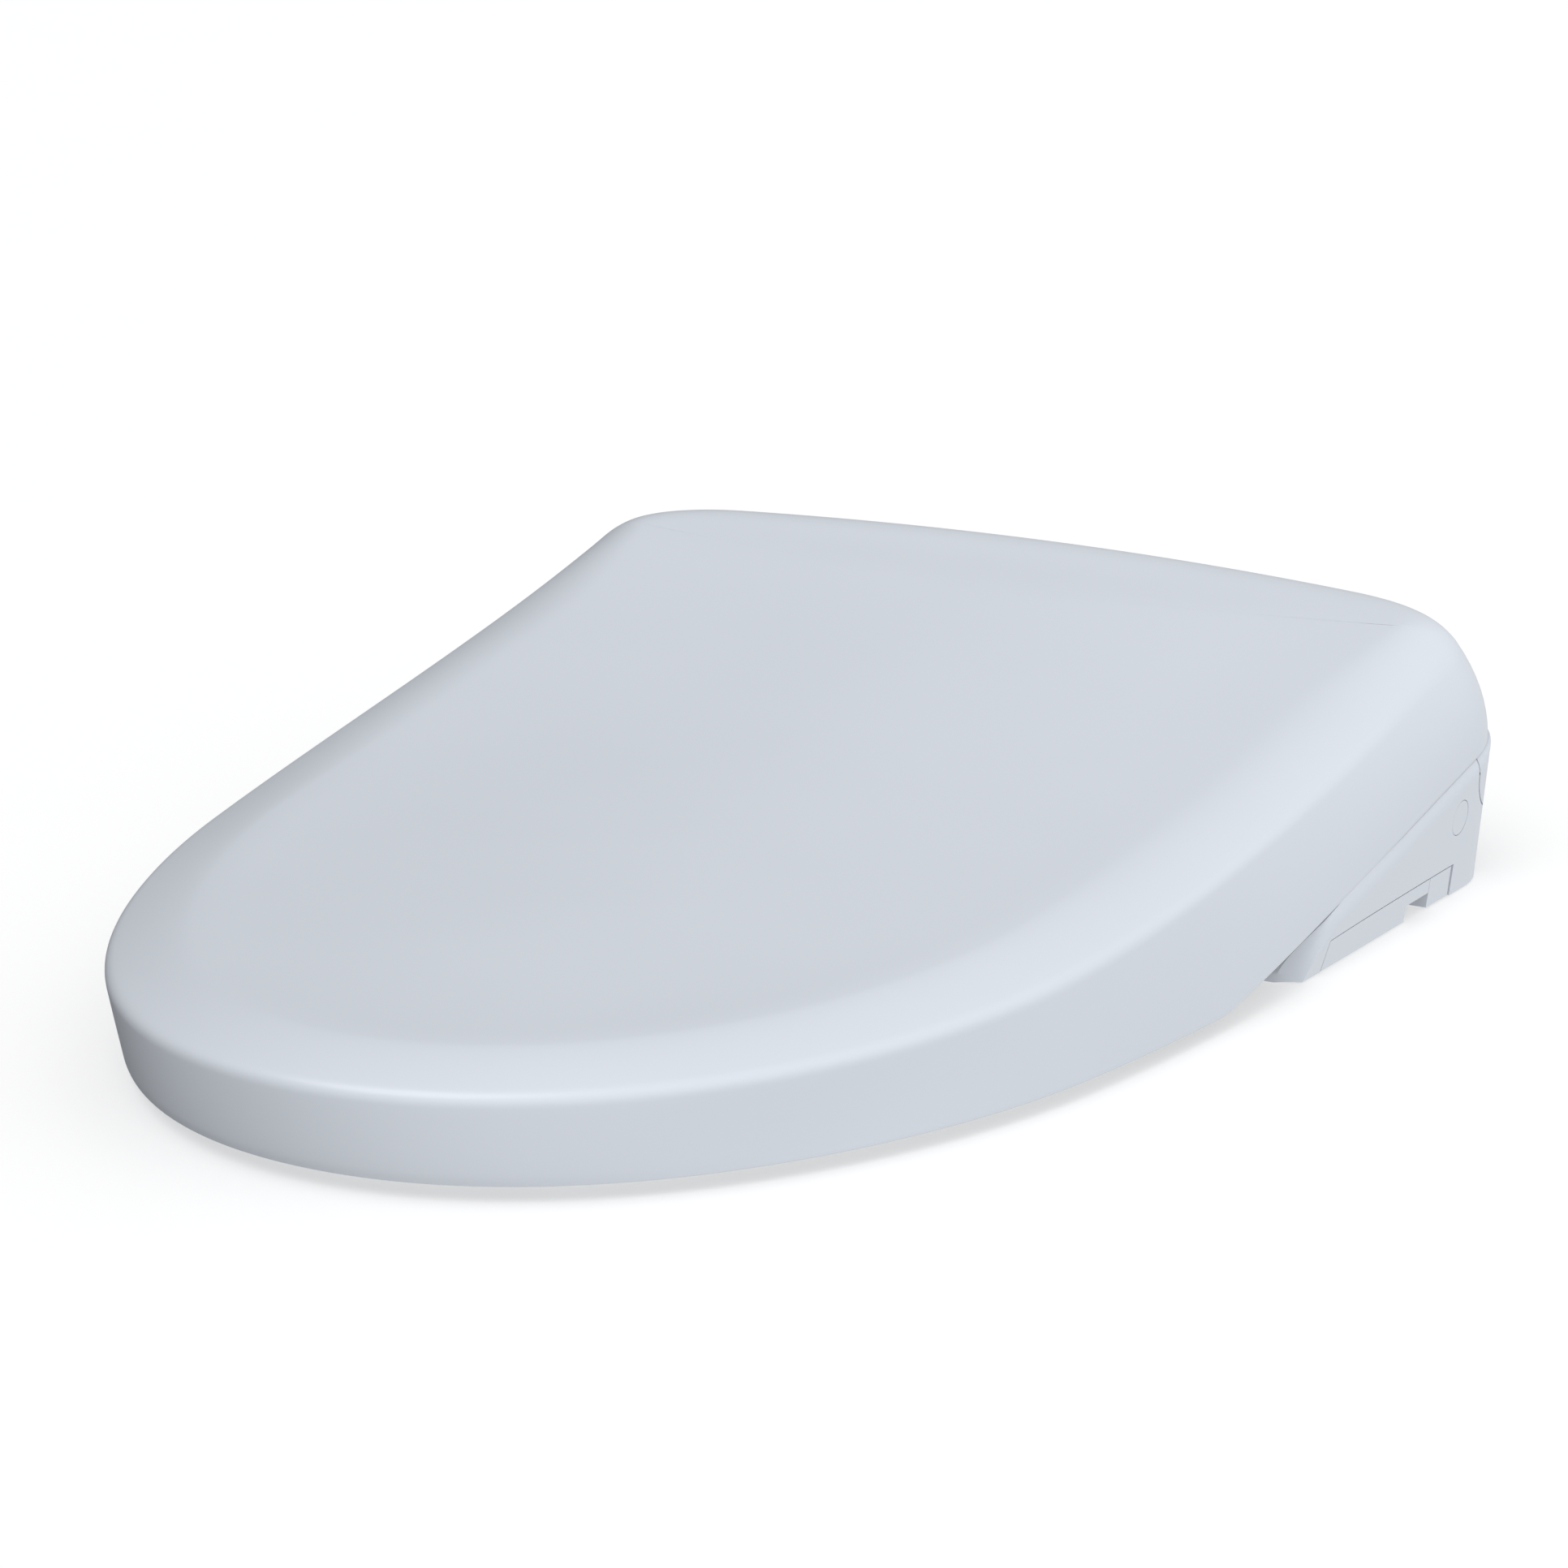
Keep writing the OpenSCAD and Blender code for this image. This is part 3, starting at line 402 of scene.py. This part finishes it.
def quad_curve(a, b, c, n):
    t = np.linspace(0, 1, n)[:, None]
    return (np.array(a) * (1 - t) ** 2 + 2 * np.array(b) * t * (1 - t) + np.array(c) * t * t)


def fold_line(y_end):
    """The fold from the toe at the floor up and back to y_end, the band's upper edge beside it, and how
    far the band turns inwards between them."""
    n = 26
    step = 3.0
    low = quad_curve((FOLD_TOE, 0), FOLD_BEND, (FOLD_START, float(fold_z(FOLD_START))), n)
    ys = np.arange(FOLD_START + 3, y_end, step)
    ys = np.append(ys[ys < y_end - 1], y_end)
    fold = np.vstack([low, np.column_stack([ys, fold_z(ys)])])
    low_edge = quad_curve((EDGE_TOE, 0), EDGE_BEND, (EDGE_START, float(rim_z(EDGE_START)) - BAND_GAP), n)
    ahead = 3 * smooth((y_end - ys) / 20) * smooth((-60 - ys) / 40)
    edge = np.vstack([low_edge, np.column_stack([ys - ahead, rim_z(ys) - BAND_GAP])])
    toe_depth = TOE_IN - (TOE_IN - BAND_IN) * smooth(np.linspace(0, 1, n) / 0.9)
    depth = np.concatenate([toe_depth, np.full(len(ys), BAND_IN)])
    return fold, edge, depth


def side_piece(name, outline, x_in, fold=None, x_shift=0.0, mirror=False, step=5.0, bevel=0.35, holes=()):
    """A piece with a side-view outline [y, z]: its outer face follows the drafted side, and its back lies
    at x_in(y). Where the outline runs along the fold, the piece turns inwards over the soft band first."""
    b = bmesh.new()
    verts = [b.verts.new((0, y, z)) for y, z in outline]
    b.faces.new(verts)
    lo, hi = np.min(outline, 0), np.max(outline, 0)
    for axis, normal in ((0, (0, 1, 0)), (1, (0, 0, 1))):
        for at in np.arange(lo[axis] + step * 0.613, hi[axis], step):
            co = (0, at, 0) if axis == 0 else (0, 0, at)
            bmesh.ops.bisect_plane(b, geom=b.verts[:] + b.edges[:] + b.faces[:], plane_co=co,
                                   plane_no=normal, dist=1e-4)
    b.verts.ensure_lookup_table()
    flat = np.array([(v.co.y, v.co.z) for v in b.verts])
    after = {}
    for f in b.faces:
        for loop in f.loops:
            if len(loop.edge.link_faces) == 1:
                after[loop.vert.index] = loop.link_loop_next.vert.index
    start = next(iter(after))
    loop_ids = [start]
    while after[loop_ids[-1]] != start:
        loop_ids.append(after[loop_ids[-1]])
    faces = [tuple(v.index for v in f.verts) for f in b.faces]
    b.free()
    outer_x = side_x(flat[:, 0], flat[:, 1]) + x_shift
    points = [np.column_stack([outer_x, flat])]
    edge_yz = flat[loop_ids]
    steps = []
    on_fold = np.zeros(len(loop_ids), bool)
    target = np.zeros((len(loop_ids), 3))
    if fold is not None:
        line, edge, depth = fold
        seg = np.linalg.norm(np.diff(line, axis=0), axis=1)
        run = np.concatenate([[0], np.cumsum(seg)])
        for i, p in enumerate(edge_yz):
            d = p - line[:-1]
            v = np.diff(line, axis=0)
            t = np.clip((d * v).sum(1) / np.maximum((v * v).sum(1), 1e-9), 0, 1)
            gap = np.linalg.norm(d - v * t[:, None], axis=1)
            k = int(np.argmin(gap))
            if gap[k] < 0.02:
                on_fold[i] = True
                at = run[k] + t[k] * seg[k]
                target[i] = [np.interp(at, run, value) for value in (depth, edge[:, 0], edge[:, 1])]
    base = np.column_stack([outer_x[loop_ids], edge_yz])
    back = np.column_stack([np.array([x_in(y) for y in edge_yz[:, 0]]), edge_yz])
    for t in (0.12, 0.35, 0.65, 1.0):
        ring = base.copy()
        ring[:, 0] -= 0.5 * t
        if on_fold.any():
            bow = 0.55 * math.sin(math.pi * t)
            moved = np.column_stack([base[:, 0] - target[:, 0] * t + bow,
                                     base[:, 1] + (target[:, 1] - base[:, 1]) * t,
                                     base[:, 2] + (target[:, 2] - base[:, 2]) * t + bow * 0.4])
            ring[on_fold] = moved[on_fold]
        steps.append(ring)
    back[on_fold, 1:] = target[on_fold, 1:]
    steps.append(back)
    m = len(loop_ids)
    index = len(flat)
    previous = list(loop_ids)
    for ring in steps:
        points.append(ring)
        current = list(range(index, index + m))
        for i in range(m):
            j = (i + 1) % m
            faces.append((previous[i], current[i], current[j], previous[j]))
        previous, index = current, index + m
    faces.append(tuple(previous))
    pts = np.vstack(points)
    if mirror:
        pts[:, 0] *= -1
    ob = add_mesh(name, pts, faces, sharp=32)
    for hole in holes:
        cut_round(ob, hole, mirror)
    if bevel:
        soften(ob, bevel)
    return ob


def soften(ob, width):
    """Rounds the edges by a small bevel, its width in mm."""
    mod = ob.modifiers.new("edges", "BEVEL")
    mod.width = width * MM
    mod.segments = 2
    mod.limit_method = "ANGLE"
    mod.angle_limit = math.radians(32)
    mod.use_clamp_overlap = True
    mod.harden_normals = True


def apply_all(ob):
    """Replaces the object's mesh by what its modifiers make of it."""
    graph = bpy.context.evaluated_depsgraph_get()
    mesh = bpy.data.meshes.new_from_object(ob.evaluated_get(graph))
    ob.modifiers.clear()
    ob.data = mesh


def drum(name, y, z, r, x_ends, n=56):
    """A round bar along X between two values of x, closed at both ends."""
    turns = [2 * math.pi * i / n for i in range(n)]
    pts = [(x, y + r * math.cos(a), z + r * math.sin(a)) for x in x_ends for a in turns]
    faces = ring_faces(n, 2) + [tuple(range(n)), tuple(range(n, 2 * n))]
    return add_mesh(name, pts, faces, sharp=35)


def cut_round(ob, hole, mirror):
    """Bores a blind round hole (y, z, radius, depth) into the outer face of a side piece."""
    y, z, r, depth = hole
    s = -1 if mirror else 1
    x = float(side_x(y, z))
    tool = drum("cutter", y, z, r, (s * (x + 6), s * (x - depth)))
    mod = ob.modifiers.new("hole", "BOOLEAN")
    mod.operation = "DIFFERENCE"
    mod.solver = "EXACT"
    mod.object = tool
    bpy.context.view_layer.update()
    apply_all(ob)
    bpy.data.objects.remove(tool)


def trimmed_copy(name, node, half):
    """A copy of a CAD node's mesh without what lies beyond |x| = half, closed where it is cut."""
    b = bmesh.new()
    b.from_mesh(frame["nodes"][node].data)
    bmesh.ops.remove_doubles(b, verts=b.verts, dist=1e-6)
    for s in (-1, 1):
        cut = bmesh.ops.bisect_plane(b, geom=b.verts[:] + b.edges[:] + b.faces[:],
                                     plane_co=(s * half * MM, 0, 0), plane_no=(s, 0, 0),
                                     clear_outer=True, dist=1e-7)
        edges = [e for e in cut["geom_cut"] if isinstance(e, bmesh.types.BMEdge) and e.is_boundary]
        bmesh.ops.holes_fill(b, edges=edges, sides=0)
    bmesh.ops.dissolve_limit(b, angle_limit=math.radians(0.6), verts=b.verts, edges=b.edges)
    mesh = bpy.data.meshes.new(name)
    b.to_mesh(mesh)
    b.free()
    for poly in mesh.polygons:
        poly.use_smooth = True
    mesh.set_sharp_from_angle(angle=math.radians(30))
    ob = bpy.data.objects.new(name, mesh)
    bpy.context.scene.collection.objects.link(ob)
    return ob


def cheek_back(y):
    """Half width of a cheek's inner side, which lies further out in front of the unit's body."""
    return 170.0 if y < BODY_FRONT else 159.0


def cheek_outline(strip):
    """A cheek's side view, with room below for the strip and the button or for the water inlet."""
    fold, edge, depth = fold_line(CHEEK_END + 0.06)
    top = [tuple(p) for p in fold[::-1]]
    if strip:
        front, end, roof_z = STRIP_FRONT - 0.7, KEY[1] + 0.4, STRIP_TOP + 0.4
        bottom = [(front, 0), (front, 11.2), (-119.2, roof_z), (end, roof_z), (end, 0)]
    else:
        bottom = [(BODY_FRONT, 0), (BODY_FRONT, 24), (-60, 24), (-60, 28), (-30, 28), (-30, 0)]
    rear = [(CHEEK_FOOT, 0)] + [arc((HINGE_Y, HINGE_Z), r, a, a, 1)[0]
                                for r, a in ((ARM_SWEEP, -63), (ARM_CUT + 1.8, -70), (ARM_CUT + 0.2, -81))]
    end = -180 + math.degrees(math.asin((HINGE_Z - float(fold_z(CHEEK_END))) / ARM_CUT))
    cut = arc((HINGE_Y, HINGE_Z), ARM_CUT, -86, end, 24)[:-1]
    return bottom + rear + cut + top, (fold, edge, depth)


for mirror, side in ((False, "right"), (True, "left")):
    outline, fold = cheek_outline(not mirror)
    holes = [(*CAP, CAP_R + 0.2, 3.5)]
    if mirror:
        holes += [(*at, BUTTON_R, BUTTON_DEPTH) for at in (POWER_AT, WASH_AT)]
    cheek = side_piece("cheek_" + side, outline, cheek_back, fold, mirror=mirror, holes=holes)
    finish_piece(cheek, "unit", mats["white_cover"], ["upper_cover"])
    cap_x = float(side_x(*CAP))
    cap = side_piece("side_cap_" + side, arc(CAP, CAP_R, 0, 354, 60), lambda y: cap_x - 3, x_shift=-0.05,
                     mirror=mirror, bevel=0.2)
    finish_piece(cap, "unit", mats["white_cover"], ["side_caps"])
body_cover = trimmed_copy("unit_cover", "upper_cover", 160)
soften(body_cover, 0.5)
finish_piece(body_cover, "unit", mats["white_cover"], ["upper_cover"])

strip_end = KEY[0] - 0.5
strip_outline = [(STRIP_FRONT, 0.1), (NOTCH, 0.1), (NOTCH, NOTCH_TOP), (strip_end, NOTCH_TOP),
                 (strip_end, STRIP_TOP), (-118.6, STRIP_TOP), (STRIP_FRONT, 11.0)]
strip = side_piece("lower_strip", strip_outline, lambda y: 181.0, x_shift=-0.1)
finish_piece(strip, "unit", mats["white_cover"], ["bottom_case"])
case = trimmed_copy("case_floor", "bottom_case", 182)
soften(case, 0.3)
finish_piece(case, "unit", mats["white_part"], ["bottom_case"])
key_front, key_rear = KEY[0] + 0.1, KEY[1] - 0.8
key_outline = [(key_front, 0.3), (key_rear, 0.3), (key_rear, 11.4), (key_front, 11.4)]
button = side_piece("release_key_cap", key_outline, lambda y: 178.0, x_shift=-0.25)
finish_piece(button, "release_key", mats["white_cover"], ["release_button"])

# the lid's arms: round-ended tongues that carry the soft band on over the hinge
for mirror, side in ((False, "right"), (True, "left")):
    ys = np.linspace(HINGE_Y - ARM_R, HINGE_Y + ARM_R, 20)
    fold = np.column_stack([ys, fold_z(ys)])
    edge = np.column_stack([ys, rim_z(ys) - BAND_GAP])
    depth = np.full(len(ys), BAND_IN)
    tongue = arc((HINGE_Y, HINGE_Z), ARM_R, 180, 360, 30) + [tuple(p) for p in fold[::-1]]
    arm = side_piece("lid_arm_skin_" + side, tongue, lambda y: 178.0, (fold, edge, depth),
                     mirror=mirror, step=4.0)
    finish_piece(arm, "lid", mats["white_lid"], ["lid_arms"])
arm_core = trimmed_copy("lid_arm_cores", "lid_arms", 179)
soften(arm_core, 0.4)
finish_piece(arm_core, "lid", mats["white_lid"], ["lid_arms"])

# ---------------------------------------------------------------- seat ring
SEAT_GAP, SEAT_LEN, HOLE_LEN, HOLE_W = 9.0, 369.0, 272.0, 208.0
SEAT_FRONT = FRONT + SEAT_GAP
HOLE_FRONT = SEAT_FRONT + 66
HOLE_POWER = 0.86                        # below 1, the opening is squarer than an ellipse
SEAT_LOW, SEAT_LIFT, LIFT_FROM, LIFT_OVER = 9.0, 13, 240, 90
CREST_FRONT, CREST_RISE = 30.5, 17
SEAT_REAR_X, SEAT_REAR_BOW = 118.0, 44


def seat_edge():
    """The seat's outer outline, set in from the lid's."""
    ahead = turned(SIDE_TURN)
    side = np.array([SIDE_AT[0] * HALF_W - SEAT_GAP * ahead[1],
                     SIDE_AT[1] * LID_LEN - SEAT_GAP * (1 - ahead[0])])
    back = np.array([SEAT_REAR_X, SEAT_LEN])
    half = np.vstack([
        bez((0, 0), (0.51 * HALF_W, 0), side - ahead * 0.14 * LID_LEN, side, 64),
        bez(side, side + ahead * 0.17 * SEAT_LEN, back + [SEAT_REAR_BOW, 0], back, 36),
        bez(back, back - [40, 0], (40, SEAT_LEN), (0, SEAT_LEN), 12),
        [(0, SEAT_LEN)]])
    return both_sides(half) + [0, SEAT_FRONT]


def seat_hole(n):
    a = 2 * np.pi * np.arange(n) / n
    s, c, e = np.sin(a), np.cos(a), HOLE_POWER
    return np.column_stack([np.sign(s) * np.abs(s) ** e * HOLE_W / 2,
                            HOLE_FRONT + HOLE_LEN / 2 * (1 - np.sign(c) * np.abs(c) ** e)])


def seat_bottom(y):
    return SEAT_LOW + SEAT_LIFT * smooth((y - SEAT_FRONT - LIFT_FROM) / LIFT_OVER)


def seat_crest(y):
    return CREST_FRONT + CREST_RISE * np.maximum((y - SEAT_FRONT) / SEAT_LEN, 0) ** 2


def smooth_through(points, steps):
    """A smooth open curve through the points."""
    p = np.array(points, float)
    p = np.vstack([2 * p[0] - p[1], p, 2 * p[-1] - p[-2]])
    out = []
    for a, b, c, d in zip(p, p[1:], p[2:], p[3:]):
        for t in np.arange(steps) / steps:
            out.append(0.5 * (2 * b + (c - a) * t + (2 * a - 5 * b + 4 * c - d) * t * t
                              + (3 * b - a - 3 * c + d) * t ** 3))
    return np.vstack(out + [p[-2]])


def seat_sweep(name, section):
    """A ring with a closed section of points (share of the way inwards, share of the height)."""
    edge = seat_edge()
    hole = seat_hole(len(edge))
    rings = []
    for across, up in section:
        p = edge * (1 - across) + hole * across
        low = seat_bottom(p[:, 1])
        rings.append(np.column_stack([p, low + (seat_crest(p[:, 1]) - low) * up]))
    return add_mesh(name, np.vstack(rings), ring_faces(len(edge), len(rings), closed=True), sharp=40)


outer_profile = smooth_through([(0.01, 0), (0, 0.35), (0.02, 0.68), (0.08, 0.9), (0.2, 1), (0.42, 0.98),
                                (0.68, 0.88), (0.86, 0.7), (0.96, 0.42), (1, 0)], 4)
inner_profile = smooth_through([(0.95, 0), (0.91, 0.4), (0.8, 0.6), (0.6, 0.76), (0.36, 0.86), (0.18, 0.85),
                                (0.09, 0.66), (0.06, 0.35), (0.055, 0)], 2)
ring_top = seat_sweep("seat_ring_top", np.vstack([outer_profile, inner_profile]))
finish_piece(ring_top, "seat", mats["white_seat"], ["seat_top"])
ring_base = seat_sweep("seat_ring_base", [(0.07, 0), (0.071, 0.03), (0.075, 0.1), (0.5, 0.1), (0.935, 0.1),
                                          (0.939, 0.03), (0.94, 0)])
finish_piece(ring_base, "seat", mats["white_part"], ["seat_base"])

# ---------------------------------------------------------------- small edges of the other nodes
replaced = {"lid_shell", "lid_arms", "upper_cover", "bottom_case", "side_caps", "release_button", "seat_top",
            "seat_base", "seat_heater", "water_hoses", "dryer_impeller", "deodorizer_impeller"}
for node, ob in frame["nodes"].items():
    if node not in replaced:
        soften(ob, 0.3)

# ---------------------------------------------------------------- floor, light and camera
def material_floor():
    m = plastic("floor_white", (0.43, 0.43, 0.428), 0.6, tone=0.002)
    shader = m.node_tree.nodes["Principled BSDF"]
    shader.inputs["Emission Color"].default_value = (1, 1, 1, 1)
    shader.inputs["Emission Strength"].default_value = 0.52
    return m


half_floor = 14.0
corners = [(x * half_floor, y * half_floor, 0) for x, y in ((-1, -1), (1, -1), (1, 1), (-1, 1))]
floor_mesh = bpy.data.meshes.new("floor")
floor_mesh.from_pydata(corners, [], [(0, 1, 2, 3)])
floor = bpy.data.objects.new("floor", floor_mesh)
bpy.context.scene.collection.objects.link(floor)
floor.location = (0, 0, -0.0005)
floor.data.materials.append(material_floor())
floor.visible_diffuse = False
floor.visible_glossy = False


def sun(name, towards, strength, angle):
    """A soft distant light from the direction `towards`, spread over `angle` degrees."""
    data = bpy.data.lights.new(name, "SUN")
    data.energy = strength
    data.angle = math.radians(angle)
    ob = bpy.data.objects.new(name, data)
    bpy.context.scene.collection.objects.link(ob)
    ob.rotation_euler = Vector(towards).to_track_quat("Z", "Y").to_euler()


sun("key", (-0.1, -0.55, 1.0), 1.46, 50)
sun("fill", (0.2, -1.0, 0.45), 0.25, 60)
sun("side", (1.0, 0.1, 0.5), 0.12, 60)

# a soft box all round: bright on the right, falling off to the left
world = bpy.data.worlds.new("studio")
bpy.context.scene.world = world
world.use_nodes = True
wt = world.node_tree
direction = wt.nodes.new("ShaderNodeTexCoord")
part = wt.nodes.new("ShaderNodeSeparateXYZ")
wt.links.new(direction.outputs["Generated"], part.inputs["Vector"])
fall = wt.nodes.new("ShaderNodeMapRange")
fall.interpolation_type = "SMOOTHSTEP"
fall.inputs["From Min"].default_value = -0.8
fall.inputs["From Max"].default_value = 0.15
fall.inputs["To Min"].default_value = 0.05
fall.inputs["To Max"].default_value = 1.0
wt.links.new(part.outputs["X"], fall.inputs["Value"])
wt.links.new(fall.outputs["Result"], wt.nodes["Background"].inputs["Strength"])
wt.nodes["Background"].inputs["Color"].default_value = (0.97, 0.985, 1.0, 1)

bpy.context.scene.view_settings.view_transform = "Standard"

CAMERA_AT = (0.9426, -1.8291, 0.6078)
YAW, PITCH = math.radians(29.59), math.radians(16.19)
SENSOR, LENS = 36.0, 130.43478           # mm
camera_data = bpy.data.cameras.new("camera")
camera = bpy.data.objects.new("camera", camera_data)
bpy.context.scene.collection.objects.link(camera)
camera.location = CAMERA_AT
ahead = Vector((-math.cos(PITCH) * math.sin(YAW), math.cos(PITCH) * math.cos(YAW), -math.sin(PITCH)))
camera.rotation_euler = ahead.to_track_quat("-Z", "Y").to_euler()
camera_data.sensor_width = SENSOR
camera_data.lens = LENS
camera_data.clip_start = 0.05
camera_data.clip_end = 60
bpy.context.scene.camera = camera
